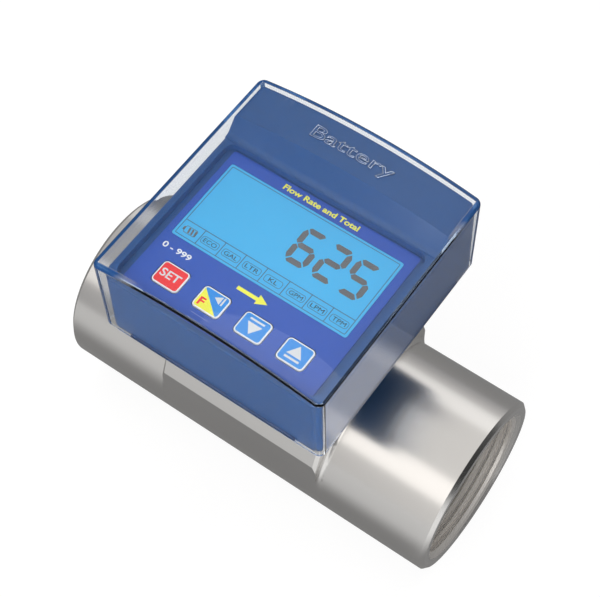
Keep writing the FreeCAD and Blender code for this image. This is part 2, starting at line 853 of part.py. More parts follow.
def make_base_screws():
    screws = []
    for x, y in boss_spots:
        head = cylinder("base_head", size("base_screw_head"), size("base_screw_head_height"),
                        mid_x + x, y, base_bottom - size("base_screw_head_height"))
        shank = cylinder("base_shank", size("base_screw_radius") - size("screw_gap"),
                         shell_bottom - base_bottom + size("base_screw_depth") - 1.0, mid_x + x, y, base_bottom)
        screws.append(fuse("base_screw", [head, shank]))
    return group("base_screws", screws)


# Housing shell: case wall, recessed face panel, window, key openings, battery bay

def make_housing_shell():
    body = new_body("housing_shell")
    outer = new_sketch(body, "XY_Plane", rim_top)
    outline = (shell_width, shell_depth, 0.0, shell_mid_y)
    draw_rectangle(outer, *outline)
    block = pad(body, outer, size("shell_height"), True)
    bind(block, "TaperAngle", size("shell_draft_angle"))
    corners = corners_of(*outline)
    front_corners = [spot for spot in corners if spot[1] < 0]
    rear_corners = [spot for spot in corners if spot[1] > 0]
    dress(body, "Fillet", leaning_from(front_corners, rim_top), size("shell_corner"))
    dress(body, "Fillet", leaning_from(rear_corners, rim_top), size("lid_corner"))
    dress(body, "Fillet", level_at(rim_top), size("rim_round"))
    hollow_shell(body)
    open_face(body)
    add_shell_posts(body)
    add_cover_lips(body)
    place(body, mid_x)
    return body


def hollow_shell(body):
    cavity = new_sketch(body, "XY_Plane", shell_bottom)
    outline = (inner_width, inner_depth, 0.0, shell_mid_y)
    draw_rectangle(cavity, *outline)
    pocket(body, cavity, panel_under - shell_bottom, True)
    dress(body, "Fillet", upright_at(corners_of(*outline)), size("cavity_corner"))
    roof = new_sketch(body, "XY_Plane", panel_under)
    front = recess_back_y + size("panel_thickness")
    back = inner_back - size("cavity_corner")
    draw_rectangle(roof, inner_width, back - front, 0.0, (back + front) / 2)
    pocket(body, roof, rim_top - size("deck_thickness") - panel_under, True)
    bay = new_sketch(body, "XY_Plane", rim_top)
    draw_rectangle(bay, tray_outer_length + size("bay_gap") * 2, tray_outer_depth + size("bay_gap") * 2,
                   0.0, cell_y)
    pocket(body, bay, rim_top - panel_under)


def open_face(body):
    depth = recess_back_y - recess_front_y
    middle = (recess_back_y + recess_front_y) / 2
    recess = new_sketch(body, "XY_Plane", rim_top)
    draw_rectangle(recess, recess_width, depth, 0.0, middle)
    pocket(body, recess, size("recess_depth"))
    dress(body, "Fillet", upright_at(corners_of(recess_width, depth, 0.0, middle)), size("recess_corner"))
    face_openings(body, size("panel_thickness"), panel_top)


def face_openings(body, thickness, level):
    window = (size("window_width"), size("window_depth"), size("window_shift_x"), size("window_shift_y"))
    opening = new_sketch(body, "XY_Plane", level)
    draw_rectangle(opening, *window)
    pocket(body, opening, thickness)
    dress(body, "Fillet", upright_at(corners_of(*window)), size("window_corner"))
    keys = new_sketch(body, "XY_Plane", level)
    width = size("key_width") + size("key_gap") * 2
    depth = size("key_depth") + size("key_gap") * 2
    for x in key_spots:
        draw_rectangle(keys, width, depth, x, key_row_y)
    pocket(body, keys, thickness)
    corners = [spot for x in key_spots for spot in corners_of(width, depth, x, key_row_y)]
    dress(body, "Fillet", upright_at(corners), size("key_corner") + size("key_gap"))


def add_shell_posts(body):
    bosses = new_sketch(body, "XY_Plane", shell_bottom)
    for x, y in boss_spots:
        draw_circle(bosses, size("boss_radius"), x, y)
    pad(body, bosses, size("boss_height"))
    holes = new_sketch(body, "XY_Plane", shell_bottom)
    for x, y in boss_spots:
        draw_circle(holes, size("base_screw_radius"), x, y)
    pocket(body, holes, size("base_screw_depth"), True)
    posts = new_sketch(body, "XY_Plane", board_top)
    for x, y in post_spots:
        draw_circle(posts, size("post_radius"), x, y)
    pad(body, posts, size("post_length") + size("panel_thickness") / 2)
    pilots = new_sketch(body, "XY_Plane", board_top)
    for x, y in post_spots:
        draw_circle(pilots, size("board_screw_radius"), x, y)
    pocket(body, pilots, size("board_screw_depth"), True)


def add_cover_lips(body):
    lips = new_sketch(body, "XY_Plane", shell_bottom)
    half_wall = size("shell_wall") / 2
    inset = size("lip_inset")
    trim = size("base_corner_cut") * 2
    front = (cover_front + inset, shell_front + half_wall)
    back = (shell_back - half_wall, cover_back - inset)
    for near, far in (front, back):
        draw_rectangle(lips, shell_width - trim, far - near, 0.0, (near + far) / 2)
    root = shell_width / 2 - half_wall
    reach = cover_width / 2 - inset
    for side in (-1, 1):
        draw_rectangle(lips, reach - root, shell_depth - trim, (reach + root) / 2 * side, shell_mid_y)
    pad(body, lips, size("cover_skirt"))


# Face: label, display glass, backlight and keys

def make_overlay_label():
    body = new_body("overlay_label")
    film = new_sketch(body, "XY_Plane", panel_top)
    outline = (label_width, label_back - label_front, 0.0, (label_back + label_front) / 2)
    draw_rectangle(film, *outline)
    pad(body, film, size("label_thickness"))
    dress(body, "Fillet", upright_at(corners_of(*outline)), size("label_corner"))
    face_openings(body, size("label_thickness"), label_top)
    place(body, mid_x)
    return body


def make_lcd_glass():
    body = new_body("lcd_glass")
    glass = new_sketch(body, "XY_Plane", backlight_top)
    outline = (size("window_width") - size("display_gap") * 2, size("window_depth") - size("display_gap") * 2,
               size("window_shift_x"), size("window_shift_y"))
    draw_rectangle(glass, *outline)
    pad(body, glass, glass_top - backlight_top)
    dress(body, "Fillet", upright_at(corners_of(*outline)), size("window_corner") - size("display_gap"))
    place(body, mid_x)
    return body


def make_backlight():
    item = box("lcd_backlight", size("window_width") + size("backlight_margin") * 2,
               size("window_depth") + size("backlight_margin") * 2, backlight_top - board_top,
               mid_x + size("window_shift_x"), size("window_shift_y"), board_top)
    item.Label = "lcd_backlight"
    return item


def make_key(label, x):
    body = new_body(label)
    flange_top_level = panel_under - size("key_flange_gap")
    cap = new_sketch(body, "XY_Plane", flange_top_level)
    draw_rectangle(cap, size("key_width"), size("key_depth"))
    cap_top = label_top + size("key_proud")
    pad(body, cap, cap_top - flange_top_level)
    dress(body, "Fillet", upright_at(corners_of(size("key_width"), size("key_depth"))), size("key_corner"))
    dress(body, "Fillet", level_at(cap_top), size("key_edge"))
    flange = new_sketch(body, "XY_Plane", flange_top_level)
    draw_rectangle(flange, size("key_width") + size("key_flange") * 2, size("key_depth") + size("key_flange") * 2)
    pad(body, flange, size("key_flange_thickness"), True)
    foot = new_sketch(body, "XY_Plane", flange_top_level - size("key_flange_thickness"))
    draw_circle(foot, size("key_foot_radius"))
    pad(body, foot, size("key_foot_length"), True)
    place(body, mid_x + x, key_row_y)
    return body


# Main board with switches, screws and the sensor stem

def make_main_board():
    body = new_body("main_board")
    outline = new_sketch(body, "XY_Plane", board_under)
    front = key_row_y - size("switch_width") / 2 - size("board_front_margin")
    rear = post_rear_y + size("board_rear_margin")
    width = inner_width - size("board_side_gap") * 2
    draw_rectangle(outline, width, rear - front, 0.0, (rear + front) / 2)
    pad(body, outline, size("board_thickness"))
    holes = new_sketch(body, "XY_Plane", board_top)
    for x, y in post_spots:
        draw_circle(holes, size("board_screw_radius") + size("screw_play"), x, y)
    pocket(body, holes, size("board_thickness"))
    place(body, mid_x)
    return body


def make_tact_switches():
    switches = []
    for x in key_spots:
        can = box("switch_can", size("switch_width"), size("switch_width"), size("switch_body_height"),
                  mid_x + x, key_row_y, board_top)
        stem = cylinder("switch_stem", size("switch_stem_radius"), size("switch_height"),
                        mid_x + x, key_row_y, board_top)
        switches.append(fuse("tact_switch", [can, stem]))
    return group("tact_switches", switches)


def make_board_screws():
    screws = []
    for x, y in post_spots:
        head = cylinder("board_head", size("board_screw_head"), size("board_screw_head_height"),
                        mid_x + x, y, board_under - size("board_screw_head_height"))
        shank = cylinder("board_shank", size("board_screw_radius") - size("screw_gap"),
                         size("board_thickness") + size("board_screw_depth") - 0.5, mid_x + x, y, board_under)
        screws.append(fuse("board_screw", [head, shank]))
    return group("board_screws", screws)


def make_sensor_stem():
    low = well_bottom + size("stem_floor_gap")
    strip = box("stem_strip", size("stem_width"), size("stem_thickness"), board_under - low, mid_x, 0.0, low)
    shift = (size("stem_thickness") + size("pickup_thickness")) / 2
    pickup = box("stem_pickup", size("pickup_size"), size("pickup_thickness"), size("pickup_size"),
                 mid_x, shift, low)
    item = fuse("sensor_stem", [strip, pickup])
    item.Label = "sensor_stem"
    return item


# Battery: tray, cell, contacts and the crowned lid

def make_battery_tray():
    height = rim_top - tray_floor
    outer = box("tray_outer", tray_outer_length, tray_outer_depth, height + size("tray_wall"),
                mid_x, cell_y, tray_floor - size("tray_wall"))
    flange = box("tray_rim", tray_outer_length + size("tray_flange") * 2, size("tray_flange_width"),
                 size("tray_flange_thickness"), mid_x, cell_y, rim_top)
    room = box("tray_room", tray_length, tray_inner_depth, height + size("tray_flange_thickness"),
               mid_x, cell_y, tray_floor)
    item = cut("battery_tray", fuse("tray_blank", [outer, flange]), room)
    item.Label = "battery_tray"
    return item


def make_battery_cell():
    start = mid_x - size("cell_length") / 2
    can = cylinder("cell_can", size("cell_radius"), size("cell_length"),
                   start, cell_y, cell_level, (1, 0, 0))
    nub = cylinder("cell_nub", size("cell_nub_radius"), size("cell_nub_length"),
                   start + size("cell_length"), cell_y, cell_level, (1, 0, 0))
    item = fuse("battery_cell", [can, nub])
    item.Label = "battery_cell"
    return item


def make_contact(side, cell_end):
    wall = tray_length / 2
    gap = wall - cell_end
    sheet_x = mid_x + (wall - size("contact_thickness") / 2) * side
    plate = box("contact_plate", size("contact_thickness"), size("contact_height"), size("contact_height"),
                sheet_x, cell_y, cell_level - size("contact_height") / 2)
    tongue_x = mid_x + (cell_end + gap / 2) * side
    tongue = box("contact_tongue", gap - size("press_gap"), size("contact_height") / 2, size("contact_reach"),
                 tongue_x, cell_y, cell_level - size("contact_reach") / 2)
    return fuse("contact", [plate, tongue])


def make_battery_contacts():
    half = size("cell_length") / 2
    return group("battery_contacts", [make_contact(-1, half), make_contact(1, half + size("cell_nub_length"))])


def slope_section(body, shift, rise):
    sketch = new_sketch(body, "YZ_Plane", shift)
    reach = size("lid_slope_run") * 1.4
    climb = (rise - size("lid_toe_height")) * 1.4
    ahead = lid_front - 1.0
    draw_polygon(sketch, [
        (ahead, lid_toe_top), (lid_slope_y, lid_toe_top),
        (lid_slope_y + reach, lid_toe_top + climb), (ahead, lid_toe_top + climb),
    ])
    return sketch


def cut_lid_slope(body):
    half = shell_width / 2
    beyond = half + 1.0
    middle = size("lid_side_height") + size("lid_crown")
    outside = middle - size("lid_crown") * beyond * beyond / (half * half)
    loft = body.newObject("PartDesign::SubtractiveLoft", "battery_lid_slope")
    loft.Profile = slope_section(body, -beyond, outside)
    loft.Sections = [slope_section(body, 0.0, middle), slope_section(body, beyond, outside)]


def lid_foot(edge):
    near = all(abs(vertex.Point.y - lid_slope_y.value) < 0.01 for vertex in edge.Vertexes)
    return near and level_at(lid_toe_top)(edge)


def lid_top_edge(edge):
    points = [vertex.Point for vertex in edge.Vertexes]
    low = min(point.z for point in points)
    side_top = rim_top.value + size("lid_side_height").value
    return low > side_top - 0.1 and max(point.y for point in points) > lid_slope_y.value


def make_battery_lid():
    body = new_body("battery_lid")
    block = new_sketch(body, "XZ_Plane", -shell_back)
    draw_crowned(block, shell_width, rim_top, rim_top + size("lid_side_height"), size("lid_crown"))
    pad(body, block, shell_back - lid_front)
    rear_corners = corners_of(shell_width, shell_back - lid_front, 0.0, (shell_back + lid_front) / 2)
    rear_corners = [spot for spot in rear_corners if spot[1] > lid_slope_y.value]
    dress(body, "Fillet", upright_at(rear_corners), size("lid_corner"))
    dress(body, "Fillet", lid_top_edge, size("lid_edge"))
    cut_lid_slope(body)
    dress(body, "Fillet", lid_foot, size("lid_foot_round"))
    hollow = new_sketch(body, "XY_Plane", rim_top)
    back = shell_back - size("lid_wall")
    front = cell_y - size("tray_flange_width") / 2 - size("lid_play")
    draw_rectangle(hollow, shell_width - size("lid_wall") * 2, back - front, 0.0, (back + front) / 2)
    pocket(body, hollow, size("lid_hollow"), True)
    place(body, mid_x)
    return body


# Clear cover: crowned cap that sits on the lips of the shell

def make_clear_cover():
    body = new_body("clear_cover")
    wall = size("cover_wall")
    crown = size("lid_crown") + size("cover_crown_extra")
    depth = cover_back - cover_front
    middle = (cover_back + cover_front) / 2
    outer = new_sketch(body, "XZ_Plane", -cover_back)
    draw_crowned(outer, cover_width, cover_low, cover_side_top, crown)
    pad(body, outer, depth)
    dress(body, "Fillet", upright_at(corners_of(cover_width, depth, 0.0, middle)), size("cover_corner"))
    dress(body, "Fillet", cover_top_edge, size("cover_edge"))
    inner_wide = cover_width - wall * 2
    inner_deep = depth - wall * 2
    inner = new_sketch(body, "XZ_Plane", -(cover_front + wall))
    draw_crowned(inner, inner_wide, cover_low, cover_side_top - wall, crown)
    pocket(body, inner, inner_deep)
    corners = corners_of(inner_wide, inner_deep, 0.0, middle)
    dress(body, "Fillet", upright_at(corners), size("cover_corner") - wall)
    place(body, mid_x)
    return body


def cover_top_edge(edge):
    return min(vertex.Point.z for vertex in edge.Vertexes) > cover_side_top.value - 0.1


def check_all(nodes):
    for item in doc.Objects:
        if "Invalid" in item.State:
            raise RuntimeError(f"{item.Label} was not made")
    for node in nodes:
        if node.Shape.isNull() or not node.Shape.isValid():
            raise RuntimeError(f"{node.Label} is not a sound solid")


def main():
    nodes = [
        make_meter_body(), make_sensor_insert(), make_insert_oring(), make_flange_screws(),
        make_paddle_wheel(), make_rotor_magnets(), make_paddle_axle(), make_axle_bushes(),
        make_neck_oring(), make_neck_clip(), make_base_plate(), make_base_gasket(), make_base_screws(),
        make_housing_shell(), make_battery_lid(), make_battery_tray(), make_battery_cell(),
        make_battery_contacts(), make_main_board(), make_tact_switches(), make_board_screws(),
        make_sensor_stem(), make_backlight(), make_lcd_glass(), make_overlay_label(),
    ]
    for label, x in zip(("key_set", "key_shift", "key_down", "key_up"), key_spots):
        nodes.append(make_key(label, x))
    nodes.append(make_clear_cover())
    doc.recompute()
    check_all(nodes)
    os.makedirs("parts", exist_ok=True)
    for node in nodes:
        node.Shape.exportStep(f"parts/{node.Label}.step")


main()
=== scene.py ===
import math

import bmesh
import bpy
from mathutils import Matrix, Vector


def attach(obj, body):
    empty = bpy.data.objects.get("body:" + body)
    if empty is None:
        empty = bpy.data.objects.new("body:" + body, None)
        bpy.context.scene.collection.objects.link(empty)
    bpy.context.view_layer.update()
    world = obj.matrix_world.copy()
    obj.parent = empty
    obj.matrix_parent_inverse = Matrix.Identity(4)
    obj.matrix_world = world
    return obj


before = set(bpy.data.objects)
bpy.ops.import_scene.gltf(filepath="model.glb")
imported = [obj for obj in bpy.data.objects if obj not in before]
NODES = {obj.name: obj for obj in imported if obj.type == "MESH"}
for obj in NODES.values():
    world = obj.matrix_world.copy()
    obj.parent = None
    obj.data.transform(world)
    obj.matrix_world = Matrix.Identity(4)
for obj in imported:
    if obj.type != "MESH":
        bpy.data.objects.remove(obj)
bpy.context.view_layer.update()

# Middle and levels of the meter in the frame, in millimetres
MM = 0.001
MID_X = 80.6
FLOOR_Z = -36.35
DISPLAY_TOP = 91.95
LABEL_TOP = 92.0
KEY_TOP = 92.25
PRINT = 0.03


# Shader nodes

def new_material(name):
    mat = bpy.data.materials.new(name)
    mat.use_nodes = True
    return mat, mat.node_tree, shader_of(mat)


def shader_of(mat):
    return mat.node_tree.nodes["Principled BSDF"]


def noise(tree, scale, detail):
    coords = tree.nodes.new("ShaderNodeTexCoord")
    texture = tree.nodes.new("ShaderNodeTexNoise")
    texture.inputs["Scale"].default_value = scale
    texture.inputs["Detail"].default_value = detail
    tree.links.new(coords.outputs["Object"], texture.inputs["Vector"])
    return texture.outputs["Fac"]


def coordinates(tree, kind):
    coords = tree.nodes.new("ShaderNodeTexCoord")
    split = tree.nodes.new("ShaderNodeSeparateXYZ")
    tree.links.new(coords.outputs[kind], split.inputs["Vector"])
    return split.outputs["X"], split.outputs["Y"], split.outputs["Z"]


def steps_up(tree, value, low, high):
    spread = tree.nodes.new("ShaderNodeMapRange")
    spread.inputs["From Min"].default_value = low
    spread.inputs["From Max"].default_value = high
    tree.links.new(value, spread.inputs["Value"])
    return spread.outputs["Result"]


def spread_over(tree, value, low, high):
    spread = tree.nodes.new("ShaderNodeMapRange")
    spread.inputs["To Min"].default_value = low
    spread.inputs["To Max"].default_value = high
    tree.links.new(value, spread.inputs["Value"])
    return spread.outputs["Result"]


def math_node(tree, operation, first, second=None, constant=None):
    node = tree.nodes.new("ShaderNodeMath")
    node.operation = operation
    tree.links.new(first, node.inputs[0])
    if second is not None:
        tree.links.new(second, node.inputs[1])
    if constant is not None:
        node.inputs[1].default_value = constant
    return node.outputs["Value"]


def tint(tree, bsdf, fac, low, high):
    ramp = tree.nodes.new("ShaderNodeValToRGB")
    ramp.color_ramp.elements[0].color = (*low, 1.0)
    ramp.color_ramp.elements[1].color = (*high, 1.0)
    tree.links.new(fac, ramp.inputs["Fac"])
    tree.links.new(ramp.outputs["Color"], bsdf.inputs["Base Color"])


def vary_roughness(tree, bsdf, fac, rough, spread):
    result = spread_over(tree, fac, rough * (1.0 - spread), rough * (1.0 + spread))
    tree.links.new(result, bsdf.inputs["Roughness"])


def roughen(tree, bsdf, height, strength, distance):
    bump = tree.nodes.new("ShaderNodeBump")
    bump.inputs["Strength"].default_value = strength
    bump.inputs["Distance"].default_value = distance
    tree.links.new(height, bump.inputs["Height"])
    tree.links.new(bump.outputs["Normal"], bsdf.inputs["Normal"])


def shades(colour, spread):
    low = tuple(max(0.0, c * (1.0 - spread)) for c in colour)
    high = tuple(min(1.0, c * (1.0 + spread)) for c in colour)
    return low, high


# Plastics and metals, with noise scales per metre

PLASTIC_CLOUD = 60.0
PLASTIC_CLOUD_DETAIL = 4.0
PLASTIC_WEAR = 200.0
PLASTIC_WEAR_SPREAD = 0.1
PLASTIC_GRAIN = 700.0
GRAIN_STRENGTH = 0.003
GRAIN_DEPTH = 0.0001
METAL_CLOUD = 45.0
METAL_WEAR = 60.0
METAL_WEAR_SPREAD = 0.03
COARSE_DETAIL = 2.0
TURNED_SPREAD = 0.01
GROOVE_TURN = 0.25
SATIN_LIGHTENING_METALLIC = 0.6
MOUTH_RADIUS = 31.7
MOUTH_BLEND = 0.1


def plastic(name, colour, rough, spread=0.03):
    mat, tree, bsdf = new_material(name)
    tint(tree, bsdf, noise(tree, PLASTIC_CLOUD, PLASTIC_CLOUD_DETAIL), *shades(colour, spread))
    vary_roughness(tree, bsdf, noise(tree, PLASTIC_WEAR, COARSE_DETAIL), rough, PLASTIC_WEAR_SPREAD)
    roughen(tree, bsdf, noise(tree, PLASTIC_GRAIN, COARSE_DETAIL), GRAIN_STRENGTH, GRAIN_DEPTH)
    return mat


def metal(name, colour, rough, spread=0.02):
    mat, tree, bsdf = new_material(name)
    bsdf.inputs["Metallic"].default_value = 1.0
    tint(tree, bsdf, noise(tree, METAL_CLOUD, COARSE_DETAIL), *shades(colour, spread))
    vary_roughness(tree, bsdf, noise(tree, METAL_WEAR, COARSE_DETAIL), rough, METAL_WEAR_SPREAD)
    return mat


def turned_metal(name, colour, rough, drawn_out):
    mat = metal(name, colour, rough, TURNED_SPREAD)
    tree = mat.node_tree
    bsdf = shader_of(mat)
    bsdf.inputs["Anisotropic"].default_value = drawn_out
    bsdf.inputs["Anisotropic Rotation"].default_value = GROOVE_TURN
    grooves = tree.nodes.new("ShaderNodeTangent")
    grooves.direction_type = "RADIAL"
    grooves.axis = "X"
    tree.links.new(grooves.outputs["Tangent"], bsdf.inputs["Tangent"])
    return mat


# Satin finish inside the bore, out to the radius of its mouth; its lowered metallic is partly painted light,
# letting the diffuse-only lamps lift the shade in the bore
def satin_lightened_bore(mat):
    tree = mat.node_tree
    coords = tree.nodes.new("ShaderNodeTexCoord")
    flatten = tree.nodes.new("ShaderNodeVectorMath")
    flatten.operation = "MULTIPLY"
    flatten.inputs[1].default_value = (0.0, 1.0, 1.0)
    length = tree.nodes.new("ShaderNodeVectorMath")
    length.operation = "LENGTH"
    tree.links.new(coords.outputs["Object"], flatten.inputs[0])
    tree.links.new(flatten.outputs["Vector"], length.inputs[0])
    blend_from = (MOUTH_RADIUS - MOUTH_BLEND) * MM
    outside = steps_up(tree, length.outputs["Value"], blend_from, MOUTH_RADIUS * MM)
    shiny = spread_over(tree, outside, SATIN_LIGHTENING_METALLIC, 1.0)
    tree.links.new(shiny, shader_of(mat).inputs["Metallic"])


# Clear cover, with its edges as shares of its box, and a painted navy reflection of the case on its back and
# left edges, away from the light

COVER_SAG = 0.446
EDGE_SIDE = (0.477, 0.481)
EDGE_TOP = (0.969, 0.976)
EDGE_BACK_LEFT = (-0.2, -0.1)
PAINTED_EDGE_NAVY = (0.03, 0.12, 0.36)
PAINTED_EDGE_SHARE = 0.6
COVER_IOR = 1.49
COVER_SHADOW = (0.93, 0.95, 0.98, 1.0)
COVER_DEPTH_TINT = (0.1, 0.45, 0.8, 1.0)
COVER_DENSITY = 15.0


def from_middle(tree, value):
    return math_node(tree, "ABSOLUTE", math_node(tree, "SUBTRACT", value, constant=0.5))


# Back and left edges of the cover, where two of its faces meet: the mask for the painted navy reflection of
# the case
def painted_edge_mask(tree):
    x, y, z = coordinates(tree, "Generated")
    across = from_middle(tree, x)
    along = from_middle(tree, y)
    sag = math_node(tree, "MULTIPLY", math_node(tree, "MULTIPLY", across, across), constant=COVER_SAG)
    side = steps_up(tree, across, *EDGE_SIDE)
    end = steps_up(tree, along, *EDGE_SIDE)
    top = steps_up(tree, math_node(tree, "ADD", z, sag), *EDGE_TOP)
    pairs = [math_node(tree, "MULTIPLY", a, b) for a, b in ((side, end), (end, top), (top, side))]
    edges = math_node(tree, "MAXIMUM", math_node(tree, "MAXIMUM", pairs[0], pairs[1]), pairs[2])
    towards_back_left = math_node(tree, "SUBTRACT", y, x)
    return math_node(tree, "MULTIPLY", edges, steps_up(tree, towards_back_left, *EDGE_BACK_LEFT))


def clear_plastic(name, colour):
    mat, tree, bsdf = new_material(name)
    bsdf.inputs["IOR"].default_value = COVER_IOR
    bsdf.inputs["Roughness"].default_value = 0.0
    edges = painted_edge_mask(tree)
    # Painted reflection: the back and left edges turn navy and let less light through
    tint(tree, bsdf, edges, colour, PAINTED_EDGE_NAVY)
    painted_share = math_node(tree, "MULTIPLY", edges, constant=-PAINTED_EDGE_SHARE)
    tree.links.new(math_node(tree, "ADD", painted_share, constant=1.0), bsdf.inputs["Transmission Weight"])
    output = tree.nodes["Material Output"]
    path = tree.nodes.new("ShaderNodeLightPath")
    see_through = tree.nodes.new("ShaderNodeBsdfTransparent")
    see_through.inputs["Color"].default_value = COVER_SHADOW
    mix = tree.nodes.new("ShaderNodeMixShader")
    tree.links.new(path.outputs["Is Shadow Ray"], mix.inputs[0])
    tree.links.new(bsdf.outputs["BSDF"], mix.inputs[1])
    tree.links.new(see_through.outputs["BSDF"], mix.inputs[2])
    tree.links.new(mix.outputs["Shader"], output.inputs["Surface"])
    inside = tree.nodes.new("ShaderNodeVolumeAbsorption")
    inside.inputs["Color"].default_value = COVER_DEPTH_TINT
    inside.inputs["Density"].default_value = COVER_DENSITY
    tree.links.new(inside.outputs["Volume"], output.inputs["Volume"])
    return mat


# Materials of the CAD nodes and of the pieces added here

STEEL = turned_metal("stainless", (0.66, 0.65, 0.635), 0.235, 0.2)
satin_lightened_bore(STEEL)
# Thread ridges: satin finish with a lighter colour, partly painted light that lifts the shade inside the bore
LIGHTENED_THREAD_STEEL = metal("satin_lightened_thread_steel", (0.88, 0.85, 0.81), 0.4)
shader_of(LIGHTENED_THREAD_STEEL).inputs["Metallic"].default_value = SATIN_LIGHTENING_METALLIC
CASE_BLUE = plastic("case_blue", (0.0088, 0.07, 0.223), 0.32)
GLINT_RIM_BLUE = metal("painted_glint_rim", (0.65, 0.72, 0.84), 0.12)
WHITE_INK = plastic("white_ink", (0.83, 0.83, 0.81), 0.4)
SIGN_INK = plastic("sign_ink", (0.69, 0.69, 0.68), 0.4)
RULE_INK = plastic("rule_ink", (0.22, 0.27, 0.55), 0.4)
LCD_INK = plastic("lcd_ink", (0.115, 0.115, 0.118), 0.45)
FLAG_INK = plastic("flag_ink", (0.006, 0.006, 0.007), 0.45)
LCD_FAINT = plastic("lcd_faint", (0.05, 0.11, 0.19), 0.45)
YELLOW_INK = plastic("yellow_ink", (0.88, 0.85, 0.06), 0.4)
RED_FACE = plastic("red_face", (0.86, 0.022, 0.026), 0.3)
BLUE_FACE = plastic("blue_face", (0.0115, 0.25, 0.69), 0.3)

NODE_LOOKS = {
    "meter_body": STEEL,
    "sensor_insert": plastic("nylon_black", (0.02, 0.02, 0.022), 0.45),
    "insert_oring": plastic("seal_rubber", (0.015, 0.015, 0.015), 0.6),
    "flange_screws": metal("screw_steel", (0.6, 0.6, 0.6), 0.25),
    "paddle_wheel": plastic("wheel_plastic", (0.6, 0.59, 0.55), 0.45),
    "rotor_magnets": metal("magnet", (0.55, 0.55, 0.56), 0.15),
    "axle_bushes": metal("bush_brass", (0.7, 0.52, 0.25), 0.25),
    "base_plate": plastic("base_blue", (0.012, 0.16, 0.5), 0.38),
    "housing_shell": CASE_BLUE,
    "battery_lid": CASE_BLUE,
    "battery_tray": plastic("tray_black", (0.025, 0.025, 0.025), 0.5),
    "battery_cell": plastic("cell_wrap", (0.05, 0.3, 0.12), 0.3),
    "battery_contacts": metal("contact_plate", (0.75, 0.66, 0.42), 0.2),
    "main_board": plastic("board_green", (0.02, 0.16, 0.06), 0.4),
    "tact_switches": plastic("switch_can", (0.04, 0.04, 0.04), 0.45),
    "lcd_backlight": plastic("backlight", (0.75, 0.8, 0.85), 0.3),
    "lcd_glass": plastic("lcd_blue", (0.048, 0.43, 0.76), 0.3, 0.02),
    "overlay_label": plastic("label_film", (0.012, 0.075, 0.4), 0.35),
    "key_set": WHITE_INK,
    "clear_cover": clear_plastic("clear_cover", (0.99, 0.995, 1.0)),
}
SAME_AS = {
    "neck_oring": "insert_oring", "base_gasket": "insert_oring", "paddle_axle": "flange_screws",
    "neck_clip": "flange_screws", "base_screws": "flange_screws", "board_screws": "flange_screws",
    "sensor_stem": "main_board", "key_shift": "key_set", "key_down": "key_set", "key_up": "key_set",
}


def dress(obj, mat):
    obj.data.materials.clear()
    obj.data.materials.append(mat)


for node_name, look in NODE_LOOKS.items():
    dress(NODES[node_name], look)
for node_name, twin in SAME_AS.items():
    dress(NODES[node_name], NODE_LOOKS[twin])


# Flat printed pieces, measured from the middle of the case

CORNER_STEPS = 6
LETTER_HALF = 0.5
LETTER_WEIGHT = 0.02
RIM_STEPS = 2


def to_frame(x, y, z):
    return Vector(((MID_X + x) * MM, y * MM, z * MM))


def add_piece(name, mesh, mat, body):
    obj = bpy.data.objects.new(name, mesh)
    bpy.context.scene.collection.objects.link(obj)
    dress(obj, mat)
    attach(obj, body)
    return obj


def closed_mesh(name, grid):
    bmesh.ops.recalc_face_normals(grid, faces=grid.faces)
    mesh = bpy.data.meshes.new(name)
    grid.to_mesh(mesh)
    grid.free()
    return mesh


def plates(name, outlines, z, mat, body):
    grid = bmesh.new()
    for outline in outlines:
        low = [grid.verts.new(to_frame(x, y, z)) for x, y in outline]
        top = [grid.verts.new(to_frame(x, y, z + PRINT)) for x, y in outline]
        grid.faces.new(top)
        grid.faces.new(low[::-1])
        count = len(outline)
        for i in range(count):
            j = (i + 1) % count
            grid.faces.new((low[i], low[j], top[j], top[i]))
    return add_piece(name, closed_mesh(name, grid), mat, body)


def rectangle(x0, y0, x1, y1):
    return [(x0, y0), (x1, y0), (x1, y1), (x0, y1)]


def rounded(cx, cy, width, depth, radius):
    points = []
    for turn, (sx, sy) in enumerate(((1, 1), (-1, 1), (-1, -1), (1, -1))):
        for step in range(CORNER_STEPS + 1):
            angle = math.radians(90.0 * (turn + step / CORNER_STEPS))
            points.append((cx + sx * (width / 2 - radius) + radius * math.cos(angle),
                           cy + sy * (depth / 2 - radius) + radius * math.sin(angle)))
    return points


def ring(cx, cy, width, depth, radius, line):
    outer = rounded(cx, cy, width, depth, radius)
    inner = rounded(cx, cy, width - 2 * line, depth - 2 * line, radius - line)
    count = len(outer)
    return [[outer[i], outer[(i + 1) % count], inner[(i + 1) % count], inner[i]] for i in range(count)]


# The part of an outline where a x + b y + c is not negative
def clip(points, a, b, c):
    kept = []
    for (x0, y0), (x1, y1) in zip(points, points[1:] + points[:1]):
        d0 = a * x0 + b * y0 + c
        d1 = a * x1 + b * y1 + c
        if d0 >= 0:
            kept.append((x0, y0))
        if d0 * d1 < 0:
            share = d0 / (d0 - d1)
            kept.append((x0 + share * (x1 - x0), y0 + share * (y1 - y0)))
    return kept


# Filled letters, or only the rims of their outlines where a rim thickness is given
def word_mesh(name, words, weight, rim):
    curve = bpy.data.curves.new(name, "FONT")
    curve.body = words
    curve.offset = weight
    curve.extrude = 0.0 if rim else LETTER_HALF
    curve.fill_mode = "NONE" if rim else "BOTH"
    curve.bevel_depth = rim
    curve.bevel_resolution = RIM_STEPS
    source = bpy.data.objects.new(name, curve)
    bpy.context.scene.collection.objects.link(source)
    graph = bpy.context.evaluated_depsgraph_get()
    mesh = bpy.data.meshes.new_from_object(source.evaluated_get(graph))
    bpy.data.objects.remove(source)
    return mesh


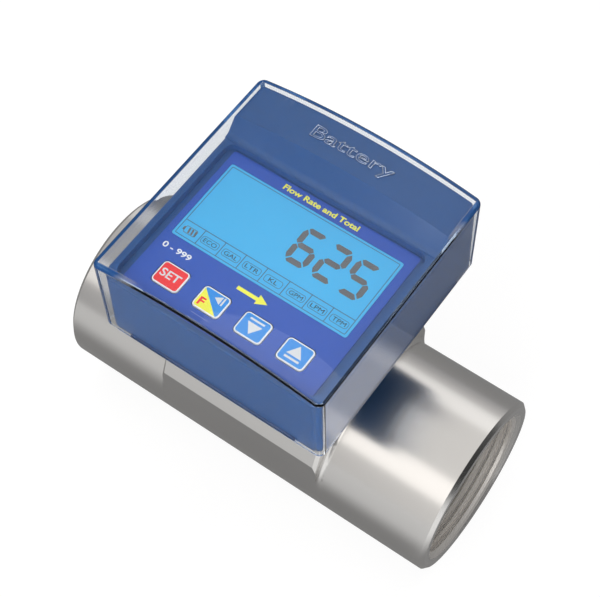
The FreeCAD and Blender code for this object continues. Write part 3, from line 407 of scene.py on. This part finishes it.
def lettering(name, words, place, z, mat, body, slot, weight=LETTER_WEIGHT, relief=PRINT, rim=0.0):
    mesh = word_mesh(name, words, weight, rim)
    x, y, width, height = place
    xs = [vert.co.x for vert in mesh.vertices]
    ys = [vert.co.y for vert in mesh.vertices]
    left, right = min(xs), max(xs)
    low, high = min(ys), max(ys)
    for vert in mesh.vertices:
        across = (vert.co.x - left) / (right - left) - 0.5
        along = (vert.co.y - low) / (high - low) - 0.5
        level = relief + vert.co.z * height if rim else (vert.co.z + LETTER_HALF) * relief
        vert.co = to_frame(x + across * width, y + along * height, z + level)
    return add_piece(name, mesh, mat, body)


# Figures on the display, in seven bars

SEGMENTS = {"6": "afgedc", "2": "abged", "5": "afgcd"}
FIGURES = (("6", 0.1), ("2", 10.9), ("5", 21.65))
FIGURE_LOW = -5.2
FIGURE_WIDTH = 9.1
FIGURE_HEIGHT = 15.5
BAR_THICK = 2.2
BAR_TIP = 1.0
BAR_GAP = 0.25
END_BAR_OUT = 0.7
END_BAR_IN = 1.5
END_CUT_OUT = 0.8
END_CUT_IN = 1.3
UPRIGHT_INSET = 1.2
UPRIGHT_POINT = 0.9
UPRIGHT_END_CUT = (1.6, 1.4)
UPRIGHT_MIDDLE_CUT = (0.9, 1.0)


def middle_bar(x0, x1, y):
    half = BAR_THICK / 2
    return [(x0, y), (x0 + BAR_TIP, y + half), (x1 - BAR_TIP, y + half), (x1, y),
            (x1 - BAR_TIP, y - half), (x0 + BAR_TIP, y - half)]


def end_bar(x0, x1, y, side):
    outer = y + side * END_BAR_OUT
    inner = y - side * END_BAR_IN
    return [(x0, y), (x0 + END_CUT_OUT, outer), (x1 - END_CUT_OUT, outer), (x1, y),
            (x1 - END_CUT_IN, inner), (x0 + END_CUT_IN, inner)]


def upright(x, side, y0, y1, low_cut, high_cut):
    inner = x - side * BAR_THICK
    point = x - side * UPRIGHT_POINT
    return [(x, y0 + low_cut[0]), (point, y0), (inner, y0 + low_cut[1]),
            (inner, y1 - high_cut[1]), (point, y1), (x, y1 - high_cut[0])]


def digit(figure, left):
    right = left + FIGURE_WIDTH
    x0 = left + BAR_TIP + BAR_GAP
    x1 = right - BAR_TIP - BAR_GAP
    top = FIGURE_LOW + FIGURE_HEIGHT
    middle = FIGURE_LOW + FIGURE_HEIGHT / 2
    upper = (middle + BAR_GAP, top - UPRIGHT_INSET, UPRIGHT_MIDDLE_CUT, UPRIGHT_END_CUT)
    lower = (FIGURE_LOW + UPRIGHT_INSET, middle - BAR_GAP, UPRIGHT_END_CUT, UPRIGHT_MIDDLE_CUT)
    bars = {
        "a": end_bar(x0, x1, top - END_BAR_OUT, 1),
        "d": end_bar(x0, x1, FIGURE_LOW + END_BAR_OUT, -1),
        "g": middle_bar(x0, x1, middle),
        "f": upright(left, -1, *upper),
        "b": upright(right, 1, *upper),
        "e": upright(left, -1, *lower),
        "c": upright(right, 1, *lower),
    }
    return [bars[letter] for letter in SEGMENTS[figure]]


def make_figures():
    bars = []
    for figure, left in FIGURES:
        bars += digit(figure, left)
    plates("display_figures", bars, DISPLAY_TOP, LCD_INK, "head")


# Border, unit flags and battery sign on the display

BORDER_X = -0.55
BORDER_Y = -0.95
BORDER_WIDTH = 69.6
BORDER_DEPTH = 32.7
BORDER_CORNER = 0.5
BORDER_LINE = 0.25
ROW_TOP = -11.1
ROW_LINE = 0.3
DIVIDERS = (-26.9, -18.4, -9.9, -1.0, 8.0, 17.0, 25.6)
FLAGS = (("ECO", -22.8), ("GAL", -14.1), ("LTR", -5.4), ("KL", 3.4), ("GPM", 12.6), ("LPM", 21.2),
         ("TPM", 29.9))
FLAG_Y = -14.2
FLAG_WIDTH = 7.0
FLAG_DEPTH = 3.0
FLAG_CORNER = 1.0
SIGN_LINE = 0.2
FLAG_LETTER_WIDTH = 1.75
FLAG_LETTER_HEIGHT = 1.6
CELL_X = -31.0
CELL_WIDTH = 4.9
CELL_DEPTH = 2.9
CELL_CORNER = 0.6
CELL_KNOB_LENGTH = 0.55
CELL_KNOB_HALF = 0.7
CELL_BARS = (-31.6, -30.3, -29.0)
CELL_BAR_WIDTH = 0.7
CELL_BAR_LEAN = 0.4
CELL_BAR_HALF = 1.1


def make_display_lines():
    left = BORDER_X - BORDER_WIDTH / 2 + BORDER_LINE
    right = BORDER_X + BORDER_WIDTH / 2 - BORDER_LINE
    low = BORDER_Y - BORDER_DEPTH / 2 + BORDER_LINE
    lines = ring(BORDER_X, BORDER_Y, BORDER_WIDTH, BORDER_DEPTH, BORDER_CORNER, BORDER_LINE)
    lines.append(rectangle(left, ROW_TOP, right, ROW_TOP + ROW_LINE))
    for x in DIVIDERS:
        lines.append(rectangle(x - ROW_LINE / 2, low, x + ROW_LINE / 2, ROW_TOP))
    for _, x in FLAGS:
        lines += ring(x, FLAG_Y, FLAG_WIDTH, FLAG_DEPTH, FLAG_CORNER, SIGN_LINE)
    plates("display_lines", lines, DISPLAY_TOP, LCD_FAINT, "head")


def make_flag_words():
    for words, x in FLAGS:
        place = (x, FLAG_Y, FLAG_LETTER_WIDTH * len(words), FLAG_LETTER_HEIGHT)
        lettering(f"flag_{words.lower()}", words, place, DISPLAY_TOP, FLAG_INK, "head", "display", 0.0)


def make_battery_sign():
    shapes = ring(CELL_X, FLAG_Y, CELL_WIDTH, CELL_DEPTH, CELL_CORNER, SIGN_LINE)
    end = CELL_X - CELL_WIDTH / 2
    shapes.append(rectangle(end - CELL_KNOB_LENGTH, FLAG_Y - CELL_KNOB_HALF, end, FLAG_Y + CELL_KNOB_HALF))
    top = FLAG_Y + CELL_BAR_HALF
    low = FLAG_Y - CELL_BAR_HALF
    for x in CELL_BARS:
        left = x - (CELL_BAR_WIDTH + CELL_BAR_LEAN) / 2
        right = left + CELL_BAR_WIDTH
        shapes.append([(left, top), (right, top), (right + CELL_BAR_LEAN, low), (left + CELL_BAR_LEAN, low)])
    plates("display_battery", shapes, DISPLAY_TOP, LCD_INK, "head")


# Label print, with words placed by middle, width and height

HEADING_PLACE = (-0.5, 18.9, 31.0, 2.3)
HEADING_WEIGHT = 0.025
RANGE_PLACE = (-30.0, -22.9, 11.5, 2.3)
ARROW_Y = -22.7
ARROW_TAIL_X = -5.0
ARROW_NECK_X = 3.2
ARROW_TIP_X = 7.2
ARROW_TAIL_HALF = 0.7
ARROW_HEAD_HALF = 2.0
RULE = rectangle(-12.1, -38.8, -4.3, -38.6)


def flow_arrow():
    tail_low, tail_high = ARROW_Y - ARROW_TAIL_HALF, ARROW_Y + ARROW_TAIL_HALF
    return [(ARROW_TAIL_X, tail_low), (ARROW_NECK_X, tail_low), (ARROW_NECK_X, ARROW_Y - ARROW_HEAD_HALF),
            (ARROW_TIP_X, ARROW_Y), (ARROW_NECK_X, ARROW_Y + ARROW_HEAD_HALF), (ARROW_NECK_X, tail_high),
            (ARROW_TAIL_X, tail_high)]


def make_label_print():
    lettering("label_heading", "Flow Rate and Total", HEADING_PLACE, LABEL_TOP, YELLOW_INK, "head",
              "label_film", HEADING_WEIGHT)
    lettering("label_range", "0 - 999", RANGE_PLACE, LABEL_TOP, WHITE_INK, "head", "label_film")
    plates("label_arrow", [flow_arrow()], LABEL_TOP, YELLOW_INK, "head")
    plates("label_rule", [RULE], LABEL_TOP, RULE_INK, "head")


# Key faces, with signs measured from the middle of their key

KEY_ROW_Y = -32.2
KEY_X = {"set": -25.35, "shift": -8.45, "down": 8.45, "up": 25.35}
KEY_WIDTH = 9.6
KEY_DEPTH = 7.9
KEY_CORNER = 1.05
SIGN_LEVEL = KEY_TOP + PRINT
SET_WORD = (-0.2, 0.2, 7.7, 3.2)
SET_WEIGHT = 0.015
SHIFT_LETTER = (-2.9, -1.6, 2.2, 3.1)
SHIFT_WEIGHT = 0.03
SPLIT_RISE = 8.0 / 9.7
SPLIT_SHIFT = 0.55
SHIFT_SIGN = ([(-0.1, 2.0), (2.5, 0.4), (2.5, 3.6)], rectangle(3.0, 0.4, 3.6, 3.6))
DOWN_SIGN = ([(-2.85, 1.3), (0.0, -2.9), (2.85, 1.3)], rectangle(-2.85, 2.25, 2.85, 2.95))
UP_SIGN = ([(-2.85, -1.1), (2.85, -1.1), (0.0, 3.1)], rectangle(-2.85, -2.7, 2.85, -1.9))


def key_face(key):
    return rounded(KEY_X[key], KEY_ROW_Y, KEY_WIDTH, KEY_DEPTH, KEY_CORNER)


def word_on_key(key, word):
    x, y, width, height = word
    return KEY_X[key] + x, KEY_ROW_Y + y, width, height


def sign_on_key(key, sign):
    return [[(KEY_X[key] + x, KEY_ROW_Y + y) for x, y in outline] for outline in sign]


def make_set_key():
    plates("key_set_face", [key_face("set")], KEY_TOP, RED_FACE, "set_key")
    lettering("key_set_word", "SET", word_on_key("set", SET_WORD), SIGN_LEVEL, SIGN_INK, "set_key", "key_red",
              SET_WEIGHT)


def make_shift_key():
    face = key_face("shift")
    cut = SPLIT_RISE * KEY_X["shift"] + KEY_ROW_Y - SPLIT_SHIFT
    blue = clip(face, SPLIT_RISE, 1.0, -cut)
    yellow = clip(face, -SPLIT_RISE, -1.0, cut)
    plates("key_shift_blue", [blue], KEY_TOP, BLUE_FACE, "shift_key")
    plates("key_shift_yellow", [yellow], KEY_TOP, YELLOW_INK, "shift_key")
    plates("key_shift_arrow", sign_on_key("shift", SHIFT_SIGN), SIGN_LEVEL, SIGN_INK, "shift_key")
    lettering("key_shift_letter", "F", word_on_key("shift", SHIFT_LETTER), SIGN_LEVEL, RED_FACE, "shift_key",
              "key_yellow", SHIFT_WEIGHT)


def make_arrow_key(key, sign):
    body = f"{key}_key"
    plates(f"key_{key}_face", [key_face(key)], KEY_TOP, BLUE_FACE, body)
    plates(f"key_{key}_arrow", sign_on_key(key, sign), SIGN_LEVEL, SIGN_INK, body)


# Raised word on the crowned battery lid, with bright metal rims round its letters as painted highlights on
# their edges

LID_WORD = (0.0, 36.3, 33.0, 6.8)
LID_WORD_SINK = 0.2
LID_RELIEF = 0.6
LID_GLINT_RIM = 0.014
LID_SIDE_TOP = 99.9
LID_CROWN = 4.0
LID_HALF = 43.8


def make_lid_word():
    place = ("Battery", LID_WORD, -LID_WORD_SINK)
    letters = lettering("lid_word", *place, CASE_BLUE, "head", "case_blue", 0.0, LID_RELIEF)
    # Painted highlight: thin bright metal rims stand in for glints on the letters' moulded edges
    rims = lettering("lid_word_glint_rims", *place, GLINT_RIM_BLUE, "head", "case_blue", 0.0, LID_RELIEF, LID_GLINT_RIM)
    for obj in (letters, rims):
        for vert in obj.data.vertices:
            x = vert.co.x / MM - MID_X
            vert.co.z += (LID_SIDE_TOP + LID_CROWN * (1.0 - (x / LID_HALF) ** 2)) * MM


# Thread ridges in both ports, from the countersink inwards

OUTLET_THREAD_X = 161.2
THREAD_RADIUS = 29.8
THREAD_LENGTH = 25.0
THREAD_PITCH = 3.05
THREAD_LEAD_OUT = 1.4
THREAD_RUN_OUT = 2.0
THREAD_LEAD_ANGLE = math.radians(115.0)
STEPS_PER_TURN = 72
FADE_IN = 3.0
FADE_OUT = 2.0
FADE_LEAST = 0.05
RIDGE_HEIGHT = 1.35
RIDGE_SINK = 0.1
RIDGE_CREST_HALF = 0.6
RIDGE_FOOT_HALF = 1.2
RIDGE_PROFILE = ((-RIDGE_FOOT_HALF, -RIDGE_SINK), (-RIDGE_CREST_HALF, RIDGE_HEIGHT),
                 (RIDGE_CREST_HALF, RIDGE_HEIGHT), (RIDGE_FOOT_HALF, -RIDGE_SINK))


def ridge_point(start_x, inward, along, height, angle):
    wall = THREAD_RADIUS + max(0.0, -along)
    radius = wall - height
    return Vector((start_x + inward * along, radius * math.cos(angle), radius * math.sin(angle))) * MM


def ridge_rows(grid, start_x, inward):
    turns = (THREAD_LENGTH + THREAD_LEAD_OUT - THREAD_RUN_OUT) / THREAD_PITCH
    rows = []
    for step in range(int(turns * STEPS_PER_TURN) + 1):
        turned = step / STEPS_PER_TURN
        angle = THREAD_LEAD_ANGLE + 2.0 * math.pi * turned
        middle = THREAD_PITCH * turned - THREAD_LEAD_OUT
        fade = max(FADE_LEAST, min(1.0, turned * FADE_IN, (turns - turned) * FADE_OUT))
        points = [ridge_point(start_x, inward, middle + shift * fade, height * fade, angle)
                  for shift, height in RIDGE_PROFILE]
        rows.append([grid.verts.new(point) for point in points])
    return rows


def make_thread(name, start_x, inward):
    grid = bmesh.new()
    rows = ridge_rows(grid, start_x, inward)
    count = len(RIDGE_PROFILE)
    for first, second in zip(rows, rows[1:]):
        for i in range(count):
            j = (i + 1) % count
            grid.faces.new((first[i], first[j], second[j], second[i]))
    grid.faces.new(rows[0])
    grid.faces.new(rows[-1][::-1])
    add_piece(name, closed_mesh(name, grid), LIGHTENED_THREAD_STEEL, "flow_body")


make_figures()
make_display_lines()
make_flag_words()
make_battery_sign()
make_label_print()
make_set_key()
make_shift_key()
make_arrow_key("down", DOWN_SIGN)
make_arrow_key("up", UP_SIGN)
make_lid_word()
make_thread("inlet_thread_ridges", 0.0, 1)
make_thread("outlet_thread_ridges", OUTLET_THREAD_X, -1)


# Floor, white where seen directly and dimmer in rough reflections

FLOOR_HALF = 4.0
FLOOR_GAP = 0.02
PAPER_CLOUD = 20.0
PAPER_CLOUD_DETAIL = 3.0
PAPER_LOW = (0.145, 0.145, 0.145)
PAPER_HIGH = (0.165, 0.165, 0.165)
PAPER_ROUGH = 0.9
PAPER_WHITE = (0.88, 0.88, 0.88, 1.0)
AHEAD_SPAN = (-0.07, -0.13)
AHEAD_GLOW = 0.45
PATCH_RIGHT = (0.07, 0.1)
PATCH_FRONT = (-0.05, -0.08)
PATCH_GLOW = 0.9
LEAST_GLOW = 0.16
MOST_GLOW = 1.1


def seen_directly(tree, path):
    return math_node(tree, "MAXIMUM", path.outputs["Is Camera Ray"], path.outputs["Is Transmission Ray"])


def floor_backdrop(tree, path):
    bounces = path.outputs["Glossy Depth"]
    straight = math_node(tree, "LESS_THAN", bounces, constant=0.5)
    piped = math_node(tree, "GREATER_THAN", bounces, constant=1.5)
    return math_node(tree, "MULTIPLY", seen_directly(tree, path), math_node(tree, "ADD", straight, piped))


def floor_glow(tree, path):
    x, y, _ = coordinates(tree, "Object")
    ahead = math_node(tree, "MULTIPLY", steps_up(tree, y, *AHEAD_SPAN), constant=AHEAD_GLOW)
    corner = math_node(tree, "MULTIPLY", steps_up(tree, x, *PATCH_RIGHT), steps_up(tree, y, *PATCH_FRONT))
    patch = math_node(tree, "MULTIPLY", corner, constant=PATCH_GLOW)
    glow = math_node(tree, "ADD", math_node(tree, "ADD", ahead, patch), constant=LEAST_GLOW)
    glow = math_node(tree, "MINIMUM", glow, constant=MOST_GLOW)
    soft = math_node(tree, "SUBTRACT", path.outputs["Is Glossy Ray"], path.outputs["Is Singular Ray"])
    return math_node(tree, "MULTIPLY", math_node(tree, "MAXIMUM", soft, constant=0.0), glow)


def paper():
    mat, tree, bsdf = new_material("floor_paper")
    tint(tree, bsdf, noise(tree, PAPER_CLOUD, PAPER_CLOUD_DETAIL), PAPER_LOW, PAPER_HIGH)
    bsdf.inputs["Roughness"].default_value = PAPER_ROUGH
    path = tree.nodes.new("ShaderNodeLightPath")
    strength = math_node(tree, "ADD", floor_backdrop(tree, path), floor_glow(tree, path))
    tree.links.new(strength, bsdf.inputs["Emission Strength"])
    bsdf.inputs["Emission Color"].default_value = PAPER_WHITE
    return mat


def make_floor():
    mesh = bpy.data.meshes.new("floor")
    grid = bmesh.new()
    bmesh.ops.create_grid(grid, x_segments=1, y_segments=1, size=FLOOR_HALF)
    grid.to_mesh(mesh)
    grid.free()
    floor = bpy.data.objects.new("floor", mesh)
    floor.location = (MID_X * MM, 0.0, (FLOOR_Z - FLOOR_GAP) * MM)
    bpy.context.scene.collection.objects.link(floor)
    floor.data.materials.append(paper())


# World, bright in front and above, darker at the sides and behind

WORLD_BRIGHT = (0.98, 0.955, 0.93, 1.0)
WORLD_GREY = (0.35, 0.35, 0.36, 1.0)
WORLD_DARK = (0.03, 0.03, 0.03, 1.0)
WORLD_WHITE = (1.0, 1.0, 1.0, 1.0)
WORLD_SPAN = (0.055, 0.91)
WORLD_RISE = 0.15
BEHIND_SPAN = (0.3, 1.0)
BEHIND_SHARE = 0.28
MIRROR_DIMMING = 0.5


def world_shades(tree):
    x, y, z = coordinates(tree, "Generated")
    raised = math_node(tree, "MULTIPLY", z, constant=WORLD_RISE)
    sideways = math_node(tree, "SUBTRACT", math_node(tree, "ABSOLUTE", x), raised)
    backwards = math_node(tree, "SUBTRACT", y, z)
    behind = math_node(tree, "MULTIPLY", steps_up(tree, backwards, *BEHIND_SPAN), constant=BEHIND_SHARE)
    ramp = tree.nodes.new("ShaderNodeValToRGB")
    ramp.color_ramp.elements[0].color = WORLD_BRIGHT
    ramp.color_ramp.elements[1].color = WORLD_DARK
    ramp.color_ramp.elements.new(0.5).color = WORLD_GREY
    darkness = steps_up(tree, math_node(tree, "ADD", sideways, behind), *WORLD_SPAN)
    tree.links.new(darkness, ramp.inputs["Fac"])
    return ramp.outputs["Color"]


def make_world():
    world = bpy.data.worlds.new("studio")
    bpy.context.scene.world = world
    world.use_nodes = True
    tree = world.node_tree
    back = tree.nodes["Background"]
    path = tree.nodes.new("ShaderNodeLightPath")
    mix = tree.nodes.new("ShaderNodeMixRGB")
    mix.inputs["Color2"].default_value = WORLD_WHITE
    tree.links.new(seen_directly(tree, path), mix.inputs["Fac"])
    tree.links.new(world_shades(tree), mix.inputs["Color1"])
    tree.links.new(mix.outputs["Color"], back.inputs["Color"])
    mirrored = math_node(tree, "MULTIPLY", path.outputs["Is Singular Ray"], path.outputs["Is Glossy Ray"])
    dimmed = math_node(tree, "MULTIPLY", mirrored, constant=-MIRROR_DIMMING)
    tree.links.new(math_node(tree, "ADD", dimmed, constant=1.0), back.inputs["Strength"])


# Lamps and camera, in metres

LAMP_AIM = Vector((0.08, 0.0, 0.04))
KEY_COLOUR = (1.0, 0.96, 0.92)
SENSOR_WIDTH = 36.0
PICTURE_WIDTH = 600.0
FOCAL_LENGTH = 1493.75 / PICTURE_WIDTH
SHIFT_RIGHT = -33.5 / PICTURE_WIDTH
SHIFT_UP = 24.67 / PICTURE_WIDTH
CAMERA_PLACE = (0.247096, -0.212793, 0.514113)
CAMERA_TILT = math.radians(29.69)
CAMERA_TURN = math.radians(34.95)


def soft_box(name, place, width, depth, power):
    lamp = bpy.data.lights.new(name, "AREA")
    lamp.shape = "RECTANGLE"
    lamp.size = width
    lamp.size_y = depth
    lamp.energy = power
    obj = bpy.data.objects.new(name, lamp)
    obj.location = place
    obj.rotation_euler = (LAMP_AIM - Vector(place)).to_track_quat("-Z", "Y").to_euler()
    bpy.context.scene.collection.objects.link(obj)
    return obj


def make_lamps():
    key = soft_box("key_light", place=(-0.05, -0.94, 0.92), width=1.4, depth=0.7, power=2.1)
    key.data.color = KEY_COLOUR
    soft_box("back_light", place=(-0.15, 1.07, 0.8), width=1.4, depth=0.62, power=1.0)
    top = soft_box("top_light", place=(0.08, -0.05, 1.24), width=1.0, depth=1.0, power=3.3)
    fill = soft_box("fill_light", place=(0.38, -1.1, 0.36), width=1.0, depth=0.5, power=6.0)
    for lamp in (top, fill):
        lamp.visible_glossy = False


def make_camera():
    camera = bpy.data.cameras.new("camera")
    camera.sensor_fit = "HORIZONTAL"
    camera.sensor_width = SENSOR_WIDTH
    camera.lens = SENSOR_WIDTH * FOCAL_LENGTH
    camera.shift_x = SHIFT_RIGHT
    camera.shift_y = SHIFT_UP
    obj = bpy.data.objects.new("camera", camera)
    obj.location = CAMERA_PLACE
    obj.rotation_euler = (CAMERA_TILT, 0.0, CAMERA_TURN)
    bpy.context.scene.collection.objects.link(obj)
    bpy.context.scene.camera = obj


make_floor()
make_world()
make_lamps()
make_camera()
bpy.context.scene.view_settings.view_transform = "Standard"
bpy.context.scene.cycles.max_bounces = 24
bpy.context.scene.cycles.glossy_bounces = 16
bpy.context.scene.cycles.transmission_bounces = 16
